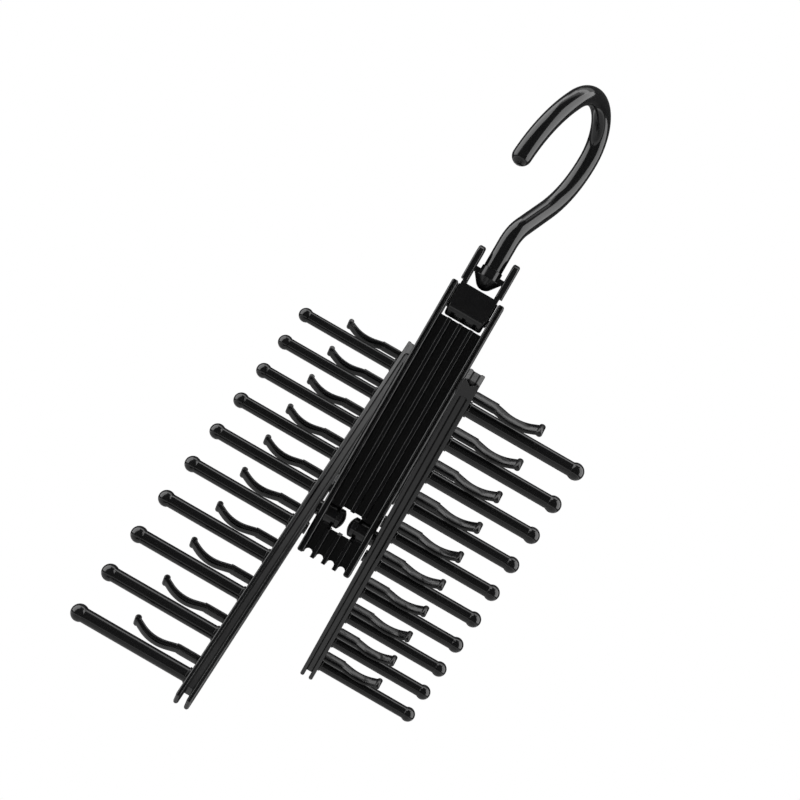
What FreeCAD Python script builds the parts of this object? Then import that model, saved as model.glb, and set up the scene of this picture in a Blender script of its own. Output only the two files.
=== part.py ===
"""Tie hanger with a turning hook, a tilting yoke and two swinging peg rails.

Millimetres and degrees. +Z is up, X runs along the pegs and -Y faces the viewer.
The origin is under the hook's crown, where the hanger sits on a wardrobe rail.
"""
import FreeCAD, Part
import math
import os
import re
import Sketcher

# Number of like pieces
PEGS_PER_RAIL = 10
RIBS = 3

# Driving dimensions, each the value of one cell of the sheet
SIZES = {
    # hook
    "hook_rod": 7.9,
    "hook_loop": 19.3,
    "hook_stem": 11.9,
    "hook_lean_angle": 40.6,
    "hook_low_bend": 13.5,
    "hook_high_bend": 42.5,
    "hook_sweep_angle": 139.6,
    "hook_tip_bend": 59.7,
    "hook_tip_angle": 33.5,
    "hook_offset": 4.3,
    "hook_turn_angle": 62.7,
    "journal": 5.2,
    "journal_end": 3.0,
    # cone that holds the hook in the yoke
    "cone_wide": 11.8,
    "cone_narrow": 6.6,
    "cone_high": 3.4,
    "cone_nose": 1.7,
    "cone_floor": 1.6,
    # yoke
    "yoke_rise": 19.6,
    "barrel": 9.8,
    "block_over": 0.7,
    "barrel_round": 1.0,
    "ear_space": 12.5,
    "ear_thick": 3.0,
    "ear_step": 1.1,
    "ear_rise": 25.9,
    "ear_deep": 7.0,
    "ear_round": 0.9,
    "cheek_drop": 1.8,
    "collar_wide": 8.8,
    "collar_high": 1.8,
    "ring_high": 2.1,
    "ring_arm": 3.6,
    "pin": 3.0,
    "pin_recess": 0.5,
    # spine
    "spine_deep": 11.0,
    "spine_over": 1.9,
    "spine_foot": 18.1,
    "wall_thick": 2.7,
    "wall_round": 0.9,
    "tilt_drop": 8.8,
    "web_thick": 1.6,
    "rib_thick": 1.7,
    "rib_sink": 0.5,
    "rib_round": 0.35,
    "foot_notch": 2.3,
    "flange": 0.75,
    "flute_wide": 1.0,
    "flute_deep": 1.2,
    "flute_stop": 8.0,
    "pad_high": 0.75,
    "pad_low": 15.6,
    "pad_top": 66.0,
    "window_gap": 1.0,
    "hub_wide": 8.3,
    "hub_space": 8.8,
    # rail pivots
    "axle": 6.2,
    "spigot": 4.2,
    "spigot_long": 2.0,
    "cap_wide": 8.3,
    "cap_crown": 6.3,
    "caps_apart": 2.0,
    # rails
    "open_angle": 44.0,
    "pitch": 20.0,
    "rail_head": 15.2,
    "rail_tail": 10.3,
    "pivot_shift": 2.6,
    "rail_wide": 6.1,
    "rail_deep": 6.4,
    "rail_round": 0.5,
    "slot_wide": 2.2,
    "slot_deep": 0.55,
    "slot_flare": 0.5,
    "slot_stop": 9.0,
    "fork_wide": 2.4,
    "fork_deep": 5.2,
    "tip_step": 0.05,
    "nick": 1.5,
    "dome_long": 8.4,
    "rub_boss": 5.0,
    "rub_drop": 12.0,
    # pegs
    "peg_long": 44.0,
    "peg_rod": 5.4,
    "peg_ball": 6.5,
    "peg_collar": 6.1,
    "collar_thick": 0.7,
    "tenon": 2.2,
    "tenon_long": 4.5,
    # clips
    "clip_rise": 7.25,
    "clip_wide": 4.6,
    "clip_thick": 1.9,
    "clip_straight": 7.0,
    "clip_dip_angle": 16.0,
    "clip_dip_bend": 8.0,
    "clip_slope": 3.3,
    "clip_lift_angle": 29.5,
    "clip_lift_bend": 14.0,
    "clip_end": 3.2,
    "clip_bead": 2.4,
    "bead_over": 0.2,
    "bead_round": 0.5,
    "clip_root": 2.2,
    "clip_heel_long": 7.2,
    "clip_heel_taper": 1.9,
    "clip_heel_over": 0.15,
    "clip_heel_under": 0.08,
    "clip_heel_drop": 0.15,
    "clip_heel_sink": 0.45,
    "clip_heel_round": 0.8,
    "clip_seat": 1.0,
    # clearances
    "yoke_gap": 0.85,
    "cheek_gap": 0.25,
    "ear_gap": 0.5,
    "tilt_gap": 0.55,
    "run_gap": 0.08,
    "end_play": 0.15,
    "cap_play": 0.12,
    "rail_gap": 1.1,
    "rub_gap": 0.3,
    "clip_gap": 0.3,
    "heel_gap": 0.4,
    "press_gap": 0.02,
}

# Heights, from the crown down
HOOK_WAIST = "(hook_low_bend + hook_high_bend)"
HOOK_SLOPE = f"((hook_loop + hook_offset - {HOOK_WAIST} * (1 - cos(hook_lean_angle))) / sin(hook_lean_angle))"
HOOK_NECK = f"({HOOK_WAIST} * sin(hook_lean_angle) + {HOOK_SLOPE} * cos(hook_lean_angle))"
HOOK_RISE = f"(hook_stem + {HOOK_NECK})"
SEAT_Z = f"(hook_rod / 2 - hook_loop - {HOOK_RISE})"
TILT_Z = f"({SEAT_Z} - yoke_rise)"
HALF_ROW = f"(pitch * {PEGS_PER_RAIL - 1} / 2)"
RAIL_TOP = f"({HALF_ROW} - pivot_shift + rail_head)"
RAIL_END = f"(-{HALF_ROW} - pivot_shift - rail_tail)"
SPINE_TOP = f"({RAIL_TOP} + spine_over)"
PIVOT_Z = f"({TILT_Z} + tilt_drop - {SPINE_TOP})"

# Distances across, from the middle of the spine out to the pegs
EAR_OUT = "(ear_space / 2 + ear_thick)"
BLOCK_OUT = f"({EAR_OUT} - ear_step)"
WALL_IN = f"({BLOCK_OUT} + yoke_gap)"
WALL_OUT = f"({WALL_IN} + wall_thick)"
RAIL_IN = f"({WALL_OUT} + rail_gap)"
RAIL_OUT = f"({RAIL_IN} + rail_wide)"
HUB_IN = "(hub_space / 2)"
CAP_OUT = f"({HUB_IN} - cap_play)"
RAIL_MIDDLE = f"({RAIL_IN} + rail_wide / 2)"
PRONG = "((rail_wide - fork_wide) / 2)"
TIP_Z = f"({RAIL_END} + {PRONG} / 2)"
BUMP_HIGH = "(rail_gap - rub_gap)"

# Heights of the cone under the yoke's ring, from the hook's seat
CONE_TOP = "(-collar_high - ring_high - end_play)"
CONE_FOOT = f"({CONE_TOP} - cone_high)"
CONE_END = f"({CONE_FOOT} - cone_nose)"

doc = FreeCAD.newDocument("TieHanger")
sheet = doc.addObject("Spreadsheet::Sheet", "Sizes")
for row, (alias, number) in enumerate(SIZES.items(), start=1):
    sheet.set(f"A{row}", alias)
    sheet.set(f"B{row}", str(number))
    sheet.setAlias(f"B{row}", alias)
doc.recompute()


def cells(text):
    """The expression with each size's name turned into its cell of the sheet."""
    def cell(word):
        return f"Sizes.{word[0]}" if word[0] in SIZES else word[0]

    return re.sub(r"[a-z_]+", cell, text)


def value(text):
    """The number that an expression gives now."""
    return float(sheet.evalExpression(cells(text)))


def bind(thing, prop, text):
    """Drive one property of an object by an expression."""
    thing.setExpression(prop, cells(text))


def place(thing, x="0", y="0", z="0", yaw="0", roll="0"):
    """Put an object somewhere, turned about X by roll and then about Z by yaw."""
    bind(thing, "Placement", f"placement(vector({x}; {y}; {z}); rotation({yaw}; 0; {roll}))")


def place_on_rail(thing, side, along="0"):
    """Put a piece of a rail at its distance along the swung rail.

    The left rail is the right one turned half round.
    """
    y = f"-({side}) * ({along}) * sin(open_angle)"
    z = f"{PIVOT_Z} + ({along}) * cos(open_angle)"
    place(thing, "0", y, z, "0" if side > 0 else "180", "open_angle")


def block(name, x, y, z):
    """A box between the low and high expressions on each axis."""
    box = doc.addObject("Part::Box", name)
    for side, axis, (low, high) in zip(("Length", "Width", "Height"), "xyz", (x, y, z)):
        bind(box, side, f"({high}) - ({low})")
        bind(box, f"Placement.Base.{axis}", low)
    return box


def rod(name, axis, wide, low, high, first="0", second="0"):
    """A round bar along one axis from low to high, through a point given on the other two axes."""
    bar = doc.addObject("Part::Cylinder", name)
    bind(bar, "Radius", f"({wide}) / 2")
    bind(bar, "Height", f"({high}) - ({low})")
    spots = {"x": (low, first, second), "y": (first, low, second), "z": (first, second, low)}
    turns = {"x": "90; 0; 90", "y": "0; 0; -90", "z": "0; 0; 0"}
    x, y, z = spots[axis]
    bind(bar, "Placement", f"placement(vector({x}; {y}; {z}); rotation({turns[axis]}))")
    return bar


def ball(name, radius, x="0", y="0", z="0"):
    """A sphere of that radius."""
    sphere = doc.addObject("Part::Sphere", name)
    bind(sphere, "Radius", radius)
    place(sphere, x, y, z)
    return sphere


def peg_height(n):
    """How far a peg is above the rail's pivot, along the rail. Peg 0 is the top one."""
    return f"({HALF_ROW} - pivot_shift - {n} * pitch)"


def mirrored(low, high):
    """The same stretch on the other side of zero."""
    return f"-({high})", f"-({low})"


def about(half):
    """A stretch as far below zero as above."""
    return f"-({half})", half


def unchanged(low, high):
    """The stretch as it is."""
    return low, high


# The two sides of the pieces that are the same left and right
HANDS = (("right", unchanged), ("left", mirrored))


def join(name, pieces):
    """The pieces as one solid."""
    fuse = doc.addObject("Part::MultiFuse", name)
    fuse.Shapes = pieces
    fuse.Refine = True
    return fuse


def carve(name, base, tools):
    """The base without the tools."""
    cut = doc.addObject("Part::Cut", name)
    cut.Base = base
    cut.Tool = tools[0] if len(tools) == 1 else join(f"{name}_tools", tools)
    return cut


def overlap(name, pieces):
    """What all the pieces share."""
    common = doc.addObject("Part::MultiCommon", name)
    common.Shapes = pieces
    return common


def soften(name, base, radius, wanted):
    """Round the edges that the test picks."""
    doc.recompute()
    fillet = doc.addObject("Part::Fillet", name)
    fillet.Base = base
    reach = value(radius)
    picked = [n for n, edge in enumerate(base.Shape.Edges, start=1) if wanted(edge)]
    fillet.Edges = [(n, reach, reach) for n in picked]
    return fillet


def any_edge(edge):
    """Picks every edge."""
    return True


def upright(edge):
    """Picks straight edges along Z."""
    return abs(edge.tangentAt(edge.FirstParameter).z) > 0.99


def rim(edge):
    """Picks whole circles, such as the rims of a bar."""
    return edge.isClosed()


def lengthwise(edge):
    """Picks straight edges along X."""
    return abs(edge.tangentAt(edge.FirstParameter).x) > 0.99


def above_tips(edge):
    """Picks a rail's edges apart from those at its lower end."""
    return edge.CenterOfMass.z > value(f"{TIP_Z} + rail_round")


def sketch_on(body, role, name):
    """An empty sketch on one of the body's own planes."""
    plane = next(part for part in body.Origin.OriginFeatures if part.Role == role)
    sketch = body.newObject("Sketcher::SketchObject", name)
    sketch.AttachmentSupport = (plane, [""])
    sketch.MapMode = "FlatFace"
    return sketch


def pin_down(sketch, text, *constraint):
    """Add a constraint and drive it by an expression."""
    number = value(text)
    if constraint[0] == "Angle":
        number = math.radians(number)
        text = f"({text}) * 1 deg"
    index = sketch.addConstraint(Sketcher.Constraint(*constraint, number))
    bind(sketch, f"Constraints[{index}]", text)


def draw_path(sketch, start, heading, steps):
    """Draw lines and arcs that run smoothly into each other, and return where the path ends.

    A step is ("line", length) or ("left" or "right", radius, angle). Headings are in degrees from
    the sketch's first axis.
    """
    x, y = start
    last = None
    for kind, size, *angle in steps:
        size = f"({size})"
        here = FreeCAD.Vector(value(x), value(y), 0)
        if kind == "line":
            x, y = f"{x} + {size} * cos({heading})", f"{y} + {size} * sin({heading})"
            piece = sketch.addGeometry(Part.LineSegment(here, FreeCAD.Vector(value(x), value(y), 0)))
            first_end, far_end = 1, 2
            pin_down(sketch, size, "Distance", piece)
        else:
            sign = 1 if kind == "left" else -1
            inward = f"({heading} + {sign * 90})"
            middle_x = f"{x} + {size} * cos({inward})"
            middle_y = f"{y} + {size} * sin({inward})"
            ahead = f"({heading} + {sign} * {angle[0]})"
            x = f"{middle_x} + {size} * sin({ahead}) * {sign}"
            y = f"{middle_y} - {size} * cos({ahead}) * {sign}"
            low, high = sorted(math.radians(value(f"{turn} - {sign * 90}")) for turn in (heading, ahead))
            middle = FreeCAD.Vector(value(middle_x), value(middle_y), 0)
            circle = Part.Circle(middle, FreeCAD.Vector(0, 0, 1), value(size))
            piece = sketch.addGeometry(Part.ArcOfCircle(circle, low, high))
            first_end, far_end = (1, 2) if kind == "left" else (2, 1)
            pin_down(sketch, size, "Radius", piece)
            pin_down(sketch, angle[0], "Angle", piece)
            heading = ahead
        if last is None:
            pin_down(sketch, x if kind != "line" else start[0], "DistanceX", piece, first_end)
            pin_down(sketch, y if kind != "line" else start[1], "DistanceY", piece, first_end)
            straight = "Vertical" if abs(math.cos(math.radians(value(heading)))) < 0.5 else "Horizontal"
            sketch.addConstraint(Sketcher.Constraint(straight, piece))
        else:
            sketch.addConstraint(Sketcher.Constraint("Tangent", *last, piece, first_end))
        last = (piece, far_end)
    return x, y


def sweep(body, profile, path):
    """Carry the profile along the path."""
    doc.recompute()
    pipe = body.newObject("PartDesign::AdditivePipe", f"{body.Name}_sweep")
    pipe.Profile = profile
    pipe.Spine = (path, [f"Edge{n}" for n in range(1, len(path.Geometry) + 1)])
    return pipe


def make_hook():
    """A bent round rod with a straight stem, a swan neck, a loop and an open, round-ended tip."""
    body = doc.addObject("PartDesign::Body", "hook_bar")
    path = sketch_on(body, "XZ_Plane", "hook_path")
    tip = draw_path(path, ("0", "end_play"), "90", [
        ("line", "hook_stem - end_play"),
        ("right", "hook_low_bend", "hook_lean_angle"),
        ("line", HOOK_SLOPE),
        ("left", "hook_high_bend", "hook_lean_angle"),
        ("left", "hook_loop", "hook_sweep_angle"),
        ("left", "hook_tip_bend", "hook_tip_angle"),
    ])
    section = sketch_on(body, "XY_Plane", "hook_section")
    bind(section, "AttachmentOffset.Base.z", "end_play")
    circle = Part.Circle(FreeCAD.Vector(), FreeCAD.Vector(0, 0, 1), value("hook_rod / 2"))
    rim_line = section.addGeometry(circle)
    section.addConstraint(Sketcher.Constraint("Coincident", rim_line, 3, -1, 1))
    pin_down(section, "hook_rod", "Diameter", rim_line)
    sweep(body, section, path)
    round_end = ball("hook_round_end", "hook_rod / 2", tip[0], "0", tip[1])
    journal = rod("hook_journal", "z", "journal", CONE_TOP, "hook_stem / 2")
    journal_end = rod("hook_journal_end", "z", "journal_end", f"{CONE_END} + cone_floor", "hook_stem / 2")
    hook = join("hook", [body, round_end, journal, journal_end])
    place(hook, z=SEAT_Z, yaw="hook_turn_angle")
    return hook


def make_hook_end_cone():
    """A blunt cone, wide end up, with a blind hole for the hook's journal."""
    cone = doc.addObject("Part::Cone", "cone_flank")
    bind(cone, "Radius1", "cone_narrow / 2")
    bind(cone, "Radius2", "cone_wide / 2")
    bind(cone, "Height", "cone_high")
    place(cone, z=CONE_FOOT)
    nose_radius = "((cone_narrow * cone_narrow / 4 + cone_nose * cone_nose) / (2 * cone_nose))"
    nose_ball = ball("cone_nose_ball", nose_radius, z=f"{CONE_END} + {nose_radius}")
    nose_space = rod("cone_nose_space", "z", "cone_narrow", CONE_END, CONE_FOOT)
    nose = overlap("cone_nose_cap", [nose_ball, nose_space])
    hole = rod("cone_hole", "z", "journal_end + 2 * press_gap", f"{CONE_END} + cone_floor", "0")
    end_cone = carve("hook_end_cone", join("cone_solid", [cone, nose]), [hole])
    place(end_cone, z=SEAT_Z, yaw="hook_turn_angle")
    return end_cone


def make_yoke():
    """A barrel block that tilts in the spine, two ears, and a ring for the hook between them."""
    bar = rod("yoke_barrel_bar", "x", "barrel", *about(BLOCK_OUT))
    barrel = soften("yoke_barrel", bar, "barrel_round", rim)
    body = block("yoke_block", about(BLOCK_OUT), about("barrel / 2"), ("0", "tilt_drop + block_over"))
    solids = [barrel, body]

    # each ear has a cheek beside the spine's wall, is narrow past the wall's corners and wider above them
    ear_step_z = "(sqrt(tilt_drop * tilt_drop + spine_deep * spine_deep / 4) + ear_gap)"
    ear_turn_z = "(ear_rise - ear_deep / 2)"
    ear_depth = about("ear_deep / 2")
    foot_high = ("tilt_drop - barrel / 4", ear_step_z)
    cheek_high = ("-cheek_drop", "tilt_drop - ear_gap")
    for side, stretch in HANDS:
        foot = stretch("ear_space / 2", BLOCK_OUT)
        cheek = stretch("ear_space / 2", f"{WALL_IN} - cheek_gap")
        plate = stretch("ear_space / 2", EAR_OUT)
        solids.append(block(f"yoke_{side}_ear_foot", foot, ear_depth, foot_high))
        solids.append(block(f"yoke_{side}_cheek", cheek, ear_depth, cheek_high))
        ear = block(f"yoke_{side}_ear", plate, ear_depth, (ear_step_z, ear_turn_z))
        ear_end = rod(f"yoke_{side}_ear_end", "x", "ear_deep", *plate, "0", ear_turn_z)
        solids.append(soften(f"yoke_{side}_ear_round", ear, "ear_round", upright))
        solids.append(soften(f"yoke_{side}_ear_end_round", ear_end, "ear_round", rim))
    ring_low = "(yoke_rise - collar_high - ring_high)"
    arm_wide = about("ear_space / 2 + ear_thick / 2")
    arm_high = (ring_low, f"{ring_low} + ring_high")
    solids.append(rod("yoke_collar", "z", "collar_wide", ring_low, "yoke_rise"))
    solids.append(block("yoke_ring_arm", arm_wide, about("ring_arm / 2"), arm_high))

    hook_hole_high = (f"{ring_low} - end_play", "yoke_rise + end_play")
    hook_hole = rod("yoke_hook_hole", "z", "journal + 2 * run_gap", *hook_hole_high)
    pin_hole = rod("yoke_pin_hole", "x", "pin + 2 * run_gap", *about(EAR_OUT))
    yoke = carve("yoke", join("yoke_solid", solids), [hook_hole, pin_hole])
    place(yoke, z=TILT_Z)
    return yoke


def make_yoke_pin():
    """A plain cross pin, a little short of the spine's outer faces."""
    pin = rod("yoke_pin", "x", "pin", *about(f"{WALL_OUT} - pin_recess"), "0", TILT_Z)
    return pin


def make_spine():
    """Two side walls and ribs on a thin web, open at the top for the yoke, with a hub for each rail."""
    foot = "-spine_foot"
    opening_low = f"({SPINE_TOP} - tilt_drop - barrel / 2 - tilt_gap)"
    rib_space = f"((2 * {WALL_IN} - {RIBS} * rib_thick) / {RIBS + 1})"
    rib_deep = about("spine_deep / 2 - rib_sink")
    web_wide = about(f"{WALL_IN} + wall_thick / 2")
    solids = [block("spine_web", web_wide, about("web_thick / 2"), (foot, opening_low))]
    for side, stretch in HANDS:
        wall_wide = stretch(WALL_IN, WALL_OUT)
        wall = block(f"spine_{side}_wall", wall_wide, about("spine_deep / 2"), (foot, SPINE_TOP))
        solids.append(soften(f"spine_{side}_wall_round", wall, "wall_round", any_edge))
        pad_wide = stretch(f"{WALL_OUT} - wall_thick / 2", f"{WALL_OUT} + pad_high")
        pad_deep = about("spine_deep / 2 - wall_round")
        pad = block(f"spine_{side}_pad", pad_wide, pad_deep, ("pad_low", "pad_top"))
        solids.append(soften(f"spine_{side}_pad_round", pad, "rib_round", any_edge))
    for n in range(RIBS):
        left = f"(-{WALL_IN} + {n + 1} * {rib_space} + {n} * rib_thick)"
        rib_wide = (left, f"{left} + rib_thick")
        rib = block(f"spine_rib_{n + 1}", rib_wide, rib_deep, (foot, opening_low))
        solids.append(soften(f"spine_rib_{n + 1}_round", rib, "rib_round", upright))

    # the window between the hubs goes right through, beside it the ribs stop and the web stays
    window_high = about("hub_wide / 2 + window_gap")
    recess_deep = ("web_thick / 2", "spine_deep")
    openings = [
        block("spine_window", about(HUB_IN), about("spine_deep"), window_high),
        block("spine_back_recess", about(WALL_IN), recess_deep, window_high),
        block("spine_front_recess", about(WALL_IN), mirrored(*recess_deep), window_high),
    ]
    solids = [carve("spine_open", join("spine_ribbed", solids), openings)]
    for side, stretch in HANDS:
        hub_wide = stretch(HUB_IN, f"{WALL_IN} + wall_thick / 2")
        solids.append(rod(f"spine_{side}_hub", "x", "hub_wide", *hub_wide))

    # holes, the arched foot and the flutes along the edges
    past_wall = about(f"{WALL_OUT} + rail_gap")
    tools = [
        rod("spine_axle_hole", "x", "axle + 2 * run_gap", *past_wall),
        rod("spine_pin_hole", "x", "pin + 2 * press_gap", *past_wall, "0", f"{SPINE_TOP} - tilt_drop"),
    ]
    for n in range(RIBS + 1):
        middle = f"(-{WALL_IN} + {n} * ({rib_space} + rib_thick) + {rib_space} / 2)"
        crown = f"({foot} + foot_notch - {rib_space} / 2)"
        sides = (f"{middle} - {rib_space} / 2", f"{middle} + {rib_space} / 2")
        notch_high = (f"{foot} - foot_notch", crown)
        tools.append(rod(f"spine_arch_{n + 1}", "y", rib_space, *about("web_thick"), middle, crown))
        tools.append(block(f"spine_notch_{n + 1}", sides, about("web_thick"), notch_high))
    flute = (f"{WALL_OUT} - flange - flute_wide", f"{WALL_OUT} - flange")
    flute_high = ("flute_stop", f"{SPINE_TOP} + tilt_drop")
    flute_back = ("spine_deep / 2 - flute_deep", "spine_deep")
    for side, stretch in HANDS:
        for face, depth in (("back", flute_back), ("front", mirrored(*flute_back))):
            tools.append(block(f"spine_{side}_{face}_flute", stretch(*flute), depth, flute_high))
    spine = carve("spine", join("spine_solid", solids), tools)
    place(spine, z=PIVOT_Z)
    return spine


def make_rail(label, side):
    """A grooved bar with a forked foot, a stub axle, and a snap dome and rub bosses on its inner face."""
    bar = block(f"{label}_bar", (RAIL_IN, RAIL_OUT), about("rail_deep / 2"), (TIP_Z, RAIL_TOP))
    solids = [soften(f"{label}_bar_round", bar, "rail_round", above_tips)]
    for place_name, middle in (("inner", f"{RAIL_IN} + {PRONG} / 2"), ("outer", f"{RAIL_OUT} - {PRONG} / 2")):
        tip_deep = about("rail_deep / 2 - tip_step")
        tip = rod(f"{label}_{place_name}_tip_bar", "y", f"{PRONG} - 2 * tip_step", *tip_deep, middle, TIP_Z)
        solids.append(soften(f"{label}_{place_name}_tip", tip, "rail_round", rim))
    axle = rod(f"{label}_axle", "x", "axle", CAP_OUT, RAIL_MIDDLE)
    spigot = rod(f"{label}_spigot", "x", "spigot", f"{CAP_OUT} - spigot_long", RAIL_IN)
    bump_end = f"({RAIL_IN} - {BUMP_HIGH})"
    dome_z = f"({SPINE_TOP} - tilt_drop)"
    dome_radius = f"((dome_long * dome_long / 4 + {BUMP_HIGH} * {BUMP_HIGH}) / (2 * {BUMP_HIGH}))"
    dome_ball = ball(f"{label}_dome_ball", dome_radius, f"{bump_end} + {dome_radius}", "0", dome_z)
    dome_high = (f"{dome_z} - dome_long / 2", f"{dome_z} + dome_long / 2")
    dome_deep = about("rail_deep / 2 - rail_round")
    dome_space = block(f"{label}_dome_space", (bump_end, f"{RAIL_IN} + rail_round"), dome_deep, dome_high)
    dome = overlap(f"{label}_dome", [dome_ball, dome_space])
    low_boss = rod(f"{label}_low_boss", "x", "rub_boss", bump_end, RAIL_MIDDLE, "0", "-rub_drop")
    high_boss = rod(f"{label}_high_boss", "x", "rub_boss", bump_end, RAIL_MIDDLE, "0", "rub_drop")
    solid = join(f"{label}_solid", [*solids, axle, spigot, dome, low_boss, high_boss])

    # fork at the foot, then the long groove and the small nick of the front and back faces
    fork = (f"{RAIL_MIDDLE} - fork_wide / 2", f"{RAIL_MIDDLE} + fork_wide / 2")
    fork_high = (f"{RAIL_END} - fork_deep", f"{RAIL_END} + fork_deep")
    tools = [block(f"{label}_fork", fork, about("rail_deep"), fork_high)]
    for face, stretch in (("back", unchanged), ("front", mirrored)):
        tools.extend(make_flared_slot(f"{label}_{face}_slot", face == "back"))
        nick_deep = stretch("rail_deep / 2 - nick / 2", "rail_deep")
        notch = block(f"{label}_{face}_nick", about("nick"), nick_deep, about("nick"))
        corner = f"vector({RAIL_MIDDLE} - nick * sqrt(2); {nick_deep[0]}; {RAIL_TOP})"
        bind(notch, "Placement", f"placement({corner}; rotation(0; 45; 0))")
        tools.append(notch)

    # a hole for each peg and a pocket for each clip
    hole = (f"{RAIL_OUT} - tenon_long", f"{RAIL_OUT} + tenon_long")
    pocket_half = "(clip_root / 2 + clip_gap)"
    pocket = (f"{RAIL_OUT} - clip_seat - {pocket_half}", f"{RAIL_OUT} + clip_root")
    pocket_deep = about("clip_wide / 2 + clip_gap")
    for n in range(PEGS_PER_RAIL):
        peg_z = peg_height(n)
        clip_z = f"({peg_z} + clip_rise)"
        pocket_high = (f"{clip_z} - {pocket_half}", f"{clip_z} + {pocket_half}")
        tools.append(rod(f"{label}_hole_{n + 1}", "x", "tenon + 2 * press_gap", *hole, "0", peg_z))
        tools.append(block(f"{label}_pocket_{n + 1}", pocket, pocket_deep, pocket_high))
    rail = carve(label, solid, tools)
    place_on_rail(rail, side)
    return rail


def make_flared_slot(name, at_back):
    """Cutters for a rail's long groove, with sloping walls and a round top end."""
    floor, mouth = "slot_wide / 2", "(slot_wide / 2 + 2 * slot_flare)"
    low, high = "(rail_deep / 2 - slot_deep)", "(rail_deep / 2 + slot_deep)"
    slot_end = f"({RAIL_TOP} - slot_stop)"
    slot = doc.addObject("Part::Wedge", name)
    bind(slot, "Ymin", low if at_back else f"-{high}")
    bind(slot, "Ymax", high if at_back else f"-{low}")
    for sign, end in (("-", "min"), ("+", "max")):
        bind(slot, f"X{end}", f"{RAIL_MIDDLE} {sign} {floor if at_back else mouth}")
        bind(slot, f"X2{end}", f"{RAIL_MIDDLE} {sign} {mouth if at_back else floor}")
    for corner in ("Z", "Z2"):
        bind(slot, f"{corner}min", f"{RAIL_END} - fork_deep")
        bind(slot, f"{corner}max", slot_end)
    round_end = doc.addObject("Part::Cone", f"{name}_end")
    bind(round_end, "Radius1", floor)
    bind(round_end, "Radius2", mouth)
    bind(round_end, "Height", "2 * slot_deep")
    place(round_end, RAIL_MIDDLE, low if at_back else f"-{low}", slot_end, roll="-90" if at_back else "90")
    return slot, round_end


def make_axle_cap(label, side):
    """A button with a crowned end and a blind hole, pushed over the end of a rail's stub axle."""
    barrel = rod(f"{label}_barrel", "x", "cap_wide", "caps_apart / 2", CAP_OUT)
    crown = ball(f"{label}_crown", "cap_crown", "caps_apart / 2 + cap_crown")
    hole_deep = (f"{CAP_OUT} - spigot_long - cap_play", f"{CAP_OUT} + cap_play")
    hole = rod(f"{label}_hole", "x", "spigot + 2 * press_gap", *hole_deep)
    cap = carve(label, overlap(f"{label}_solid", [barrel, crown]), [hole])
    place_on_rail(cap, side)
    return cap


def make_peg(label, side, along):
    """A round peg with a ball end, a collar at its root and a tenon that sits in the rail."""
    peg = join(label, [
        rod(f"{label}_tenon", "x", "tenon", f"{RAIL_OUT} - tenon_long", f"{RAIL_OUT} + collar_thick"),
        rod(f"{label}_collar", "x", "peg_collar", RAIL_OUT, f"{RAIL_OUT} + collar_thick"),
        rod(f"{label}_rod", "x", "peg_rod", RAIL_OUT, f"{RAIL_OUT} + peg_long"),
        ball(f"{label}_ball", "peg_ball / 2", f"{RAIL_OUT} + peg_long"),
    ])
    place_on_rail(peg, side, along)
    return peg


def make_clip(label, side, along):
    """A thin wavy strip with a round root in the rail, a thick heel and a beaded, lifted end."""
    body = doc.addObject("PartDesign::Body", f"{label}_strip")
    path = sketch_on(body, "XZ_Plane", f"{label}_path")
    root_x = f"({RAIL_OUT} - clip_seat)"
    end = draw_path(path, (root_x, "0"), "0", [
        ("line", "clip_seat + clip_straight"),
        ("right", "clip_dip_bend", "clip_dip_angle"),
        ("line", "clip_slope"),
        ("left", "clip_lift_bend", "(clip_dip_angle + clip_lift_angle)"),
        ("line", "clip_end"),
    ])
    section = sketch_on(body, "YZ_Plane", f"{label}_section")
    bind(section, "AttachmentOffset.Base.z", root_x)
    draw_strip_section(section)
    sweep(body, section, path)
    root = rod(f"{label}_root", "y", "clip_root", *about("clip_wide / 2 - clip_thick / 4"), root_x, "0")
    bead = rod(f"{label}_bead_bar", "y", "clip_bead", *about("clip_wide / 2 + bead_over"), *end)
    bead = soften(f"{label}_bead", bead, "bead_round", rim)
    clip = join(label, [body, root, make_clip_heel(label), bead])
    place_on_rail(clip, side, along)
    return clip


def make_clip_heel(label):
    """The thick straight part of a clip beside the rail, and the taper into its strip."""
    half = "(clip_wide / 2 + clip_heel_over)"
    low = "(-clip_thick / 2 - clip_heel_drop)"
    high = "(clip_thick / 2 - clip_heel_under)"
    end_x = f"({RAIL_OUT} + clip_heel_long)"
    bar_long = (f"{RAIL_OUT} + heel_gap", f"{end_x} + clip_heel_taper + heel_gap")
    bar = block(f"{label}_heel_bar", bar_long, about(half), (low, high))
    bar = soften(f"{label}_heel_round", bar, "clip_heel_round", lengthwise)

    # the bar is kept whole beside the rail and cut to a wedge at its end
    wide = f"({half} + heel_gap)"
    space_high = (f"{low} - heel_gap", f"{high} + heel_gap")
    space = block(f"{label}_heel_space", (RAIL_OUT, end_x), about(wide), space_high)
    taper = doc.addObject("Part::Wedge", f"{label}_heel_taper")
    end_half = "(clip_thick / 2 - clip_heel_sink)"
    bind(taper, "Ymin", "0")
    bind(taper, "Ymax", "clip_heel_taper")
    for sign, end in (("-", "min"), ("", "max")):
        bind(taper, f"X{end}", f"{sign}{wide}")
        bind(taper, f"X2{end}", f"{sign}{wide}")
        bind(taper, f"Z2{end}", f"{sign}{end_half}")
    bind(taper, "Zmin", low)
    bind(taper, "Zmax", high)
    place(taper, end_x, yaw="-90")
    return overlap(f"{label}_heel", [bar, join(f"{label}_heel_room", [space, taper])])


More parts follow.
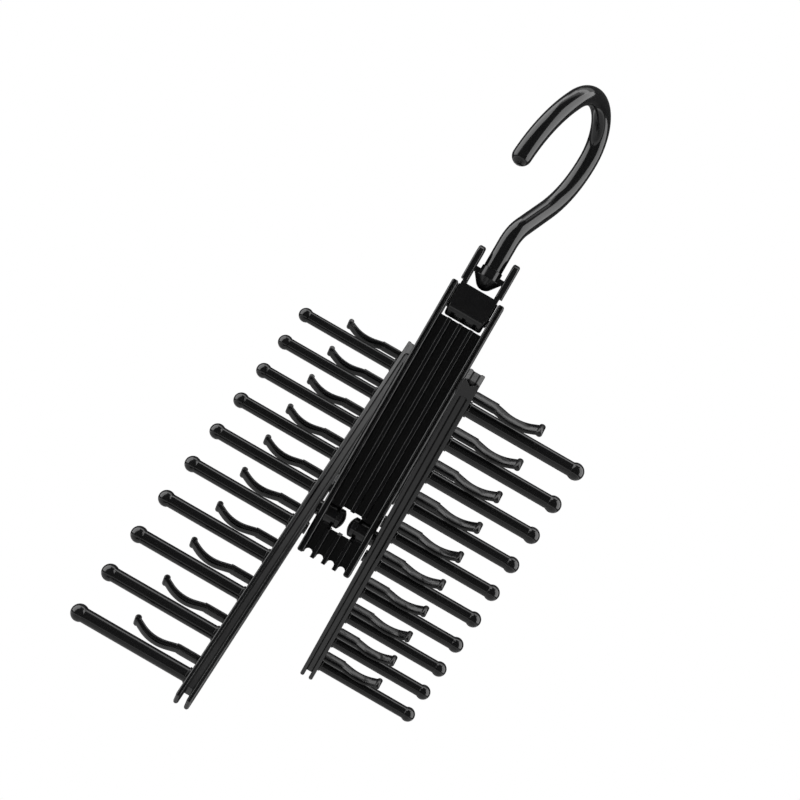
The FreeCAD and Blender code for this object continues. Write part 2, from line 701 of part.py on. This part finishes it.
def draw_strip_section(sketch):
    """A flat strip with round edges, centred on the sketch."""
    edge = value("clip_thick / 2")
    flat = value("clip_wide / 2") - edge
    upward = FreeCAD.Vector(0, 0, 1)
    right = Part.Circle(FreeCAD.Vector(flat, 0, 0), upward, edge)
    left = Part.Circle(FreeCAD.Vector(-flat, 0, 0), upward, edge)
    quarter = math.pi / 2
    arcs = [sketch.addGeometry(Part.ArcOfCircle(right, -quarter, quarter)),
            sketch.addGeometry(Part.ArcOfCircle(left, quarter, 3 * quarter))]
    spots = ((flat, edge), (-flat, edge), (-flat, -edge), (flat, -edge))
    corners = [FreeCAD.Vector(x, y, 0) for x, y in spots]
    top = sketch.addGeometry(Part.LineSegment(corners[0], corners[1]))
    low = sketch.addGeometry(Part.LineSegment(corners[2], corners[3]))
    for ends in ((arcs[0], 2, top, 1), (top, 2, arcs[1], 1), (arcs[1], 2, low, 1), (low, 2, arcs[0], 1)):
        sketch.addConstraint(Sketcher.Constraint("Tangent", *ends))
    pin_down(sketch, "clip_thick / 2", "Radius", arcs[0])
    pin_down(sketch, "clip_wide / 2 - clip_thick / 2", "DistanceX", arcs[0], 3)
    pin_down(sketch, "-(clip_wide / 2 - clip_thick / 2)", "DistanceX", arcs[1], 3)
    sketch.addConstraint(Sketcher.Constraint("PointOnObject", arcs[0], 3, -1))
    sketch.addConstraint(Sketcher.Constraint("Horizontal", top))


parts = [make_hook(), make_hook_end_cone(), make_yoke(), make_yoke_pin(), make_spine()]
for hand, side in (("left", -1), ("right", 1)):
    parts.append(make_rail(f"{hand}_rail", side))
    parts.append(make_axle_cap(f"{hand}_axle_cap", side))
    for n in range(PEGS_PER_RAIL):
        peg_along = peg_height(n)
        parts.append(make_peg(f"{hand}_peg_{n + 1:02d}", side, peg_along))
        parts.append(make_clip(f"{hand}_clip_{n + 1:02d}", side, f"{peg_along} + clip_rise"))
doc.recompute()

# Every object is checked before anything is written
for thing in doc.Objects:
    if any(mark in thing.State for mark in ("Invalid", "Error")):
        raise RuntimeError(f"{thing.Label} did not build: {thing.State}")
os.makedirs("parts", exist_ok=True)
for part in parts:
    if part.Shape.isNull() or not part.Shape.isValid() or len(part.Shape.Solids) != 1:
        raise RuntimeError(f"{part.Label} is not one valid solid")
for part in parts:
    part.Shape.exportStep(f"parts/{part.Label}.step")
    print(f"{part.Label}: {part.Shape.Volume:.1f} mm3")
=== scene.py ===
# %% [markdown]
# # A folding tie hanger in black moulded plastic
#
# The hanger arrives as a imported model: a hook, a tilting yoke, a ribbed spine and two rails with pegs and clips.
# Its shapes are finished, so this lesson sets up the picture around them: the camera, a plain studio, and a
# finish for every piece. The hard part is that black gloss plastic has almost no colour of its own. What the eye
# sees is the room mirrored in it, so the room is designed as carefully as the plastic.

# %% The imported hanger
import math

import bmesh
import bpy
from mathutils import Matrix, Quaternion, Vector

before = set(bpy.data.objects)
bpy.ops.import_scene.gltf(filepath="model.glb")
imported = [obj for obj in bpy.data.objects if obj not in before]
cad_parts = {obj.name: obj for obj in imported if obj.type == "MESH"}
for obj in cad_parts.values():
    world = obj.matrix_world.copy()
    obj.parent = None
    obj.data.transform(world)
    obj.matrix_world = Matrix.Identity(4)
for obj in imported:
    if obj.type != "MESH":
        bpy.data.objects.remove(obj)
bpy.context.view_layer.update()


# %% [markdown]
# ## The camera
#
# The picture looks at the hanger level and straight at its front, with the camera rolled by 30 degrees, so the
# upright spine runs across the frame at a slant. A camera could be aimed with a Track To constraint, but then the
# roll would need a second empty. Two plain angles say the same: a hair to the left, and the roll. The lens is
# given as a focal length in pixels, because that is what can be measured on an 800 pixel frame. The hanger sits
# left of where the lens points, which a small shift of the lens takes up without turning the camera.

# %% The camera
FRAME_PIXELS = 800
FOCAL_PIXELS = 1437.2
SHIFT_PIXELS = (-66.6, 3.4)
SENSOR_WIDTH = 36.0
CAMERA_PLACE = (0.020516, -0.566996, -0.126263)
LOOK_LEFT, ROLL = math.radians(0.31), math.radians(29.98)
NEAREST, FARTHEST = 0.01, 50

lens = bpy.data.cameras.new("camera")
lens.sensor_width = SENSOR_WIDTH
lens.lens = FOCAL_PIXELS * SENSOR_WIDTH / FRAME_PIXELS
lens.shift_x, lens.shift_y = (pixels / FRAME_PIXELS for pixels in SHIFT_PIXELS)
lens.clip_start, lens.clip_end = NEAREST, FARTHEST
camera = bpy.data.objects.new("camera", lens)
ahead = Vector((-math.sin(LOOK_LEFT), math.cos(LOOK_LEFT), 0))
camera.rotation_mode = "QUATERNION"
camera.rotation_quaternion = ahead.to_track_quat("-Z", "Y") @ Quaternion((0, 0, 1), ROLL)
camera.location = CAMERA_PLACE
bpy.context.scene.collection.objects.link(camera)
bpy.context.scene.camera = camera
bpy.context.scene.view_settings.view_transform = "Standard"
print(f"camera at {[round(v, 3) for v in camera.location]}, lens {lens.lens:.1f} mm")

# %% [markdown]
# ## Shader maths as arithmetic
#
# A material is a tree of nodes, and a sum in it takes one Math node for each step. Written node by node that is
# hard to read. Here one small class stands for a socket. Adding, subtracting or multiplying two of them, or one
# and a number, puts the Math node in the tree, so a mask reads like a formula. Every other node, be it a noise, a
# mapping or the shader itself, comes from one method.

# %% A socket that can be calculated with
class Wire:
    """A socket of a node tree. Arithmetic on it adds the Math nodes that work it out."""

    def __init__(self, tree, socket=None):
        self.tree = tree
        self.socket = socket

    def node(self, kind, settings=None, inputs=None, out=0):
        """Adds a node: its settings first, then a value or a wire for each input named. Returns one output."""
        made = self.tree.nodes.new(kind)
        for name, setting in (settings or {}).items():
            setattr(made, name, setting)
        for name, given in (inputs or {}).items():
            if isinstance(given, Wire):
                self.tree.links.new(given.socket, made.inputs[name])
            else:
                made.inputs[name].default_value = given
        return Wire(self.tree, made.outputs[out] if len(made.outputs) else None)

    def beside(self, out):
        """Another output of the same node."""
        return Wire(self.tree, self.socket.node.outputs[out])

    def maths(self, operation, first, second=0.0):
        """One Math node."""
        return self.node("ShaderNodeMath", {"operation": operation}, {0: first, 1: second})

    def __add__(self, other):
        return self.maths("ADD", self, other)

    def __radd__(self, other):
        return self.maths("ADD", other, self)

    def __sub__(self, other):
        return self.maths("SUBTRACT", self, other)

    def __rsub__(self, other):
        return self.maths("SUBTRACT", other, self)

    def __mul__(self, other):
        return self.maths("MULTIPLY", self, other)

    def __rmul__(self, other):
        return self.maths("MULTIPLY", other, self)

    def __abs__(self):
        return self.maths("ABSOLUTE", self)

    def either(self, other):
        """The larger of the two."""
        return self.maths("MAXIMUM", self, other)

    def rise(self, low, high):
        """0 below low, 1 above high, and a soft step between them."""
        return self.node("ShaderNodeMapRange", {"interpolation_type": "SMOOTHSTEP"},
                         {"Value": self, "From Min": low, "From Max": high})

    def within(self, low, high, soft):
        """1 between low and high and 0 outside, with soft steps just inside both ends."""
        return self.rise(low, low + soft) * (1 - self.rise(high - soft, high))

    def blend(self, low, high):
        """A colour between low, where this wire is 0, and high, where it is 1."""
        return self.node("ShaderNodeMix", {"data_type": "RGBA"}, {0: self, 6: low, 7: high}, out=2)


def empty_tree(owner):
    """The owner's node tree with nothing in it, as a wire to start from."""
    owner.use_nodes = True
    owner.node_tree.nodes.clear()
    return Wire(owner.node_tree)


print("shader arithmetic ready")

# %% [markdown]
# ## The white ground
#
# The picture has a plain white ground. A white world would give it, but such a world is also a lamp on every side.
# So the world answers two questions apart: a ray from the camera, one mirrored off the plastic or one through
# something clear finds white, and all other rays, which carry light to the floor, find a pale grey.

# %% The world
def grey(level, blue=0.0):
    """A grey as a colour, with a trace of blue on request."""
    return (level, level, level + blue, 1.0)


def looked_at(tree):
    """1 for a ray from the camera, mirrored or through something clear, and 0 for one that carries light."""
    ray = tree.node("ShaderNodeLightPath", out="Is Camera Ray")
    return ray.either(ray.beside("Is Glossy Ray")).either(ray.beside("Is Transmission Ray"))


WHITE = grey(1.0)
SKY_LIGHT = grey(0.15)

world = bpy.data.worlds.new("studio")
bpy.context.scene.world = world
sky = empty_tree(world)
ground = looked_at(sky).blend(SKY_LIGHT, WHITE)
sky.node("ShaderNodeOutputWorld",
         inputs={"Surface": sky.node("ShaderNodeBackground", inputs={"Color": ground, "Strength": 1.0})})
print(f"world of {len(world.node_tree.nodes)} nodes")

# %% [markdown]
# ## Softboxes
#
# In the picture each black rod has a dark middle, a soft grey band on both sides and a dark rim. The bands are two
# large softboxes, one on the left and one on the right. The thin light line along the top of every peg and the
# light face of the left rail, which fades towards its foot, come from a strip of light overhead. One even lamp
# would make that face flat. A real softbox is brightest in the middle, where the lamp sits behind the cloth, so
# the strip is made of two: a wide dim one, and a narrow bright one just below it.

# %% Softboxes
MIDDLE = Vector((0.0, 0.0, -0.14))
SIDE_TURN, BEHIND = 80, 180
SIDE_BOX = {"rise": 24, "away": 1.1, "wide": 1.15, "high": 1.8, "glow": 3.1}


def softbox(name, turn, rise, away, wide, high, glow):
    """A soft lamp seen from the hanger at turn degrees round from the camera and rise degrees up.

    away, wide and high are metres, and glow is how bright its cloth looks
    """
    turn, rise = math.radians(turn), math.radians(rise)
    bearing = Vector((math.sin(turn) * math.cos(rise), -math.cos(turn) * math.cos(rise), math.sin(rise)))
    lamp = bpy.data.lights.new(name, "AREA")
    lamp.shape, lamp.size, lamp.size_y = "RECTANGLE", wide, high
    lamp.energy = glow * math.pi * wide * high
    box = bpy.data.objects.new(name, lamp)
    box.location = MIDDLE + away * bearing
    box.rotation_mode = "QUATERNION"
    box.rotation_quaternion = (-bearing).to_track_quat("-Z", "Y")
    box.visible_camera = False
    bpy.context.scene.collection.objects.link(box)
    print(f"{name}: {lamp.energy:.1f} W, {wide} by {high} m")


softbox("left_softbox", turn=-SIDE_TURN, **SIDE_BOX)
softbox("right_softbox", turn=SIDE_TURN, **SIDE_BOX)
softbox("top_softbox", turn=BEHIND, rise=84, away=1.2, wide=1.3, high=0.70, glow=0.9)
softbox("top_softbox_middle", turn=BEHIND, rise=86.5, away=1.19, wide=1.3, high=0.25, glow=2.2)

# %% [markdown]
# ## The dark tent
#
# Between the lamps the room has to be dark, or the rods would lose their dark middles and rims. A dark world would
# do that, but then the ground is no longer white. Photographers hang a tent of grey cloth round shiny black things.
# Here it is a sphere that only mirrored rays meet, before they reach the white world. The camera looks through it at
# the white ground, and it takes no light from the floor.

# %% The tent
TENT_RADIUS = 2.0
TENT_GREY = grey(0.20)

cloth = bpy.data.meshes.new("tent")
shell = bmesh.new()
bmesh.ops.create_icosphere(shell, subdivisions=4, radius=TENT_RADIUS)
shell.to_mesh(cloth)
shell.free()
tent = bpy.data.objects.new("tent", cloth)
bpy.context.scene.collection.objects.link(tent)
tent.visible_camera = tent.visible_diffuse = tent.visible_shadow = tent.visible_transmission = False
tent_cloth = bpy.data.materials.new("tent_cloth")
weave = empty_tree(tent_cloth)
weave.node("ShaderNodeOutputMaterial",
           inputs={"Surface": weave.node("ShaderNodeBsdfDiffuse", inputs={"Color": TENT_GREY})})
cloth.materials.append(tent_cloth)
print(f"tent of {len(cloth.polygons)} faces")

# %% [markdown]
# ## The floor
#
# The floor lies well below the hanging hanger. It is a pale matt plane that takes the shadow, and the lower half of
# every peg mirrors it. A floor that is pale all over would show its edge as a horizon. So away from the shadow it
# turns into plain white, for the camera and in the plastic's reflections alike.

# %% The floor
FLOOR_LEVEL = -0.95
FLOOR_HALF = 6.0
CORNERS = ((-1, -1), (1, -1), (1, 1), (-1, 1))

sheet = bpy.data.meshes.new("floor")
sheet.from_pydata([(x * FLOOR_HALF, y * FLOOR_HALF, FLOOR_LEVEL) for x, y in CORNERS], [], [(0, 1, 2, 3)])
floor = bpy.data.objects.new("floor", sheet)
bpy.context.scene.collection.objects.link(floor)
print(f"floor at {FLOOR_LEVEL} m")

# %% The floor's paint
FLOOR_GREYS = grey(0.53), grey(0.58)
WHITE_FROM, WHITE_BEYOND = 0.95, 1.5

floor_finish = bpy.data.materials.new("pale_floor")
paint = empty_tree(floor_finish)
spot = paint.node("ShaderNodeTexCoord", out="Object")
flat = paint.node("ShaderNodeVectorMath", {"operation": "MULTIPLY"}, {0: spot, 1: (1, 1, 0)})
reach = paint.node("ShaderNodeVectorMath", {"operation": "LENGTH"}, {0: flat}, out=1)
grain = paint.node("ShaderNodeTexNoise", inputs={"Vector": spot, "Scale": 90.0, "Detail": 3.0})
matt = paint.node("ShaderNodeBsdfDiffuse", inputs={"Color": grain.blend(*FLOOR_GREYS)})
plain = paint.node("ShaderNodeEmission", inputs={"Color": WHITE, "Strength": 1.0})
share = looked_at(paint) * reach.rise(WHITE_FROM, WHITE_BEYOND)
paint.node("ShaderNodeOutputMaterial",
           inputs={"Surface": paint.node("ShaderNodeMixShader", inputs={0: share, 1: matt, 2: plain})})
sheet.materials.append(floor_finish)
print(f"white from {WHITE_FROM} to {WHITE_BEYOND} m out")

# %% [markdown]
# ## The skin of moulded plastic
#
# Every black piece comes out of a polished mould. Up close such plastic isn't even: the melt leaves faint flow
# streaks along the way it ran, the skin has a slight orange peel, fingers leave dull smudges, handling leaves fine
# scratches, and some dust lies on it. A painted picture of all that would show its seams and its pixels. Noise made
# by nodes has neither, and it can be stretched along the way the melt ran. The cells of Voronoi patterns give the
# scratches, along their edges, and the dust, at their middles.

# %% Marks of moulding and use
def moulding_marks(spot, streak, lean):
    """Flow streaks, cloudy patches, orange peel, smudges, scratches and dust, as one wire each."""
    along = spot.node("ShaderNodeMapping", {"vector_type": "TEXTURE"},
                      {"Vector": spot, "Rotation": (lean, 0, 0), "Scale": streak})
    flow = spot.node("ShaderNodeTexNoise", inputs={"Vector": along, "Scale": 1.0, "Detail": 3.0, "Roughness": 0.6})
    cloud = spot.node("ShaderNodeTexNoise", inputs={"Vector": spot, "Scale": 55.0, "Detail": 4.0, "Distortion": 0.6})
    skin = spot.node("ShaderNodeTexNoise", inputs={"Vector": spot, "Scale": 900.0, "Detail": 2.0})
    hair = spot.node("ShaderNodeTexVoronoi", {"feature": "DISTANCE_TO_EDGE"},
                     {"Vector": along, "Scale": 0.8, "Randomness": 1.0})
    speck = spot.node("ShaderNodeTexVoronoi", {"feature": "F1"}, {"Vector": spot, "Scale": 260.0})
    smudge = cloud.rise(0.50, 0.72)
    scratch = (1 - hair.rise(0.004, 0.02)) * cloud.rise(0.42, 0.6)
    dust = 1 - speck.rise(0.035, 0.075)
    return flow, cloud, skin, smudge, scratch, dust


print("six kinds of marks ready")

# %% [markdown]
# ## The rails' grooves and the clips' backs
#
# In the mould a rail's groove is a narrow rib, and a polishing stick only rubs its top lightly. In the plastic the
# groove's floor then comes out satin. Its sloping sides get painted shade: a darker black that is rough and hardly
# mirrors. An inlay could be modelled, but the groove is one piece with its rail, so the finish changes there and the
# shape doesn't. Two masks say where.
#
# The clips' backs are crowned a little across, about 0.2 mm, so the strip of light shows on them as a soft line
# with dark edges. The imported clips have flat backs with round edges and stay as they are. The crown is a shallow
# bump, with its ridge slightly off the middle.
#
# Both are measured in metres from the middle plane of the rail, which leans by its swing at rest. The groove is
# also measured sideways, from the middle of the hanger.

# %% Where the groove and the crown lie
LEAN = math.radians(44)
RAIL_PIVOT = (0.0, 0.0, -0.1908)
GROOVE_MOUTH, MOUTH_SOFT = (0.01425, 0.01745), 0.0001
GROOVE_FLOOR, FLOOR_SOFT = (0.01485, 0.01685), 0.00015
GROOVE_RIM = (0.00306, 0.00316)
RIDGE_SHIFT = 0.0008


def off_middle(spot, lean):
    """How far a spot lies from the middle plane of its rail, which leans about x."""
    from_pivot = spot.node("ShaderNodeVectorMath", {"operation": "SUBTRACT"}, {0: spot, 1: RAIL_PIVOT})
    return spot.node("ShaderNodeVectorMath", {"operation": "DOT_PRODUCT"},
                     {0: from_pivot, 1: (0, math.cos(lean), math.sin(lean))}, out=1)


def groove_masks(spot, lean):
    """Two masks of a rail's groove: the satin middle of its floor, and its sloping sides, for painted shade."""
    across = abs(spot.node("ShaderNodeSeparateXYZ", inputs={0: spot}, out="X"))
    below_rim = 1 - abs(off_middle(spot, lean)).rise(*GROOVE_RIM)
    mouth = across.within(*GROOVE_MOUTH, MOUTH_SOFT) * below_rim
    middle = across.within(*GROOVE_FLOOR, FLOOR_SOFT)
    return mouth * middle, mouth * (1 - middle)


def crown_height(spot, lean, radius):
    """The height of a clip's back, which falls off from its ridge as a circle of that radius does."""
    aside = off_middle(spot, lean) + math.copysign(RIDGE_SHIFT, lean)
    return aside * aside * (-0.5 / radius)


print(f"grooves {1000 * (GROOVE_MOUTH[1] - GROOVE_MOUTH[0]):.1f} mm wide, ridges {1000 * RIDGE_SHIFT} mm off")

# %% [markdown]
# ## Black plastic
#
# The marks are too small to model and show only where a reflection breaks up, so they go into the roughness and a
# shallow bump, and hardly into the colour. Edges are worn round by handling: a Bevel node bends the normal there,
# so they catch the light. One recipe makes all the black finishes. Each piece gives it the direction the melt ran,
# how polished its mould was, how black it is and how round its edges are.

# %% The recipe
ROUGHER = {"flow": 0.05, "smudge": 0.05, "scratch": 0.10, "dust": 0.12, "satin": 0.16}
RAISED = {"flow": 0.5, "skin": 0.35, "scratch": -0.3}
STREAK_SHADES = (0.7, 1.3)
COOL = 0.0003
SATIN_BLACK = grey(0.006, COOL)
DUST_GREY, DUST_SHARE = grey(0.030), 0.5
PLASTIC_IOR = 1.49
# Painted shade for the groove's sloping sides: a darker black that is rough and hardly mirrors.
SIDE_SHADE_FINISH = {"Roughness": 0.6, "Specular IOR Level": 0.1}
SIDE_SHADE_BLACKS = grey(0.002), grey(0.004)


def black_plastic(name, streak, polish, lean=0.0, shade=0.006, peel=0.000005, edge=0.00025, gloss=0.5,
                  groove=False, crown=None):
    """Black gloss plastic, with all lengths in metres.

    streak and lean: the size of a flow streak along x, y and z, and its turn about x
    polish, shade, gloss: the roughness of clean skin, how light the black is, and how strongly it mirrors
    peel, edge: the height of the orange peel, and the radius of worn edges
    groove, crown: whether the piece has a rail's groove, and the radius of a clip's crowned back
    """
    finish = bpy.data.materials.new(name)
    start = empty_tree(finish)
    spot = start.node("ShaderNodeTexCoord", out="Object")
    flow, cloud, skin, smudge, scratch, dust = moulding_marks(spot, streak, lean)
    tone = (flow * 0.6 + cloud * 0.4).rise(0.25, 0.8)
    settled = dust * cloud.rise(0.48, 0.6) * DUST_SHARE
    colour = settled.blend(tone.blend(*(grey(shade * part, COOL) for part in STREAK_SHADES)), DUST_GREY)
    rough = polish + (flow - 0.5) * ROUGHER["flow"] + smudge * ROUGHER["smudge"]
    rough = rough + scratch * ROUGHER["scratch"] + dust * ROUGHER["dust"]
    relief = flow * RAISED["flow"] + skin * RAISED["skin"] + scratch * RAISED["scratch"]
    if groove:
        satin, side_shade = groove_masks(spot, lean)
        rough = rough + satin * ROUGHER["satin"]
        colour = satin.blend(colour, SATIN_BLACK)
    if crown:
        relief = relief + crown_height(spot, lean, crown) * (1 / peel)
    worn = start.node("ShaderNodeBevel", {"samples": 4}, {"Radius": edge})
    bump = start.node("ShaderNodeBump", inputs={"Strength": 1.0, "Distance": peel, "Height": relief, "Normal": worn})
    surface = start.node("ShaderNodeBsdfPrincipled",
                         inputs={"Base Color": colour, "Roughness": rough, "IOR": PLASTIC_IOR,
                                 "Specular IOR Level": gloss, "Normal": bump})
    # Painted shade: the groove's sloping sides get the darker, rough black.
    if groove:
        shaded_sides = start.node("ShaderNodeBsdfPrincipled",
                           inputs={"Base Color": tone.blend(*SIDE_SHADE_BLACKS), **SIDE_SHADE_FINISH})
        surface = start.node("ShaderNodeMixShader", inputs={0: side_shade, 1: surface, 2: shaded_sides})
    start.node("ShaderNodeOutputMaterial", inputs={"Surface": surface})
    print(f"{name}: {len(finish.node_tree.nodes)} nodes")
    return finish


hook_plastic = black_plastic("hook_plastic", (0.004, 0.004, 0.02), polish=0.1)

# %% [markdown]
# ## The other black pieces
#
# On the real hanger all of them are the same plastic, each from its own mould. One material for all would be
# simpler, but then the streaks would run the wrong way on most pieces. The melt runs along the spine, the rails,
# the pegs and the clips. The left rail leans one way and the right rail the other, so the rails and the clips on
# them come in two hands.

# %% The other black finishes
RAIL_LOOK = {"streak": (0.002, 0.002, 0.05), "polish": 0.14, "shade": 0.004, "peel": 0.000015, "edge": 0.0003,
             "groove": True}
CLIP_LOOK = {"streak": (0.01, 0.0015, 0.0015), "polish": 0.13, "shade": 0.004, "peel": 0.00006, "edge": 0.0005,
             "gloss": 0.42, "crown": 0.012}

fitting_plastic = black_plastic("fitting_plastic", (0.006, 0.003, 0.003), polish=0.14)
spine_plastic = black_plastic("spine_plastic", (0.0015, 0.0015, 0.05), polish=0.15, shade=0.002)
left_rail_plastic = black_plastic("left_rail_plastic", lean=-LEAN, **RAIL_LOOK)
right_rail_plastic = black_plastic("right_rail_plastic", lean=LEAN, **RAIL_LOOK)
peg_plastic = black_plastic("peg_plastic", (0.02, 0.002, 0.002), polish=0.12)
left_clip_plastic = black_plastic("left_clip_plastic", lean=-LEAN, **CLIP_LOOK)
right_clip_plastic = black_plastic("right_clip_plastic", lean=LEAN, **CLIP_LOOK)

# %% [markdown]
# ## The steel pin
#
# The yoke tilts on a drawn steel pin. Only its two round ends show, flush with the spine's walls. Drawing leaves
# fine lines along the pin, and the cropped ends are slightly dull. The lines could be an anisotropic shader, but
# the ends are too small for it to show. Noise stretched along the pin gives the lines and the dullness.

# %% Drawn steel
LINE_SIZE = (0.03, 0.0002, 0.0002)
LINE_DEPTH = 0.00001
STEEL_GREYS = grey(0.34, 0.01), grey(0.56, 0.01)

pin_steel = bpy.data.materials.new("pin_steel")
steel = empty_tree(pin_steel)
spot = steel.node("ShaderNodeTexCoord", out="Object")
along = steel.node("ShaderNodeMapping", {"vector_type": "TEXTURE"}, {"Vector": spot, "Scale": LINE_SIZE})
lines = steel.node("ShaderNodeTexNoise", inputs={"Vector": along, "Scale": 1.0, "Detail": 4.0})
cloud = steel.node("ShaderNodeTexNoise", inputs={"Vector": spot, "Scale": 500.0, "Detail": 3.0})
colour = (lines * 0.6 + cloud * 0.4).blend(*STEEL_GREYS)
bump = steel.node("ShaderNodeBump", inputs={"Strength": 1.0, "Distance": LINE_DEPTH, "Height": lines})
surface = steel.node("ShaderNodeBsdfPrincipled",
                     inputs={"Base Color": colour, "Metallic": 1.0, "Roughness": 0.25 + 0.2 * cloud, "Normal": bump})
steel.node("ShaderNodeOutputMaterial", inputs={"Surface": surface})
print(f"pin_steel: {len(pin_steel.node_tree.nodes)} nodes")

# %% [markdown]
# ## A finish for every piece
#
# Finishes could be given to the pieces one by one, but there are 49 of them. Their names say what they are, and
# pieces of one kind differ only in the number at the end. So one short table, from the name without its number to
# the finish, covers all of them.

# %% Finishes on the pieces
FINISHES = {
    "hook": hook_plastic,
    "hook_end_cone": fitting_plastic,
    "yoke": fitting_plastic,
    "yoke_pin": pin_steel,
    "spine": spine_plastic,
    "left_rail": left_rail_plastic,
    "right_rail": right_rail_plastic,
    "left_axle_cap": fitting_plastic,
    "right_axle_cap": fitting_plastic,
    "left_peg": peg_plastic,
    "right_peg": peg_plastic,
    "left_clip": left_clip_plastic,
    "right_clip": right_clip_plastic,
}
for piece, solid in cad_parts.items():
    solid.data.materials.clear()
    solid.data.materials.append(FINISHES[piece.rstrip("_0123456789")])
print(f"{len(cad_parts)} pieces of {len(FINISHES)} kinds dressed")
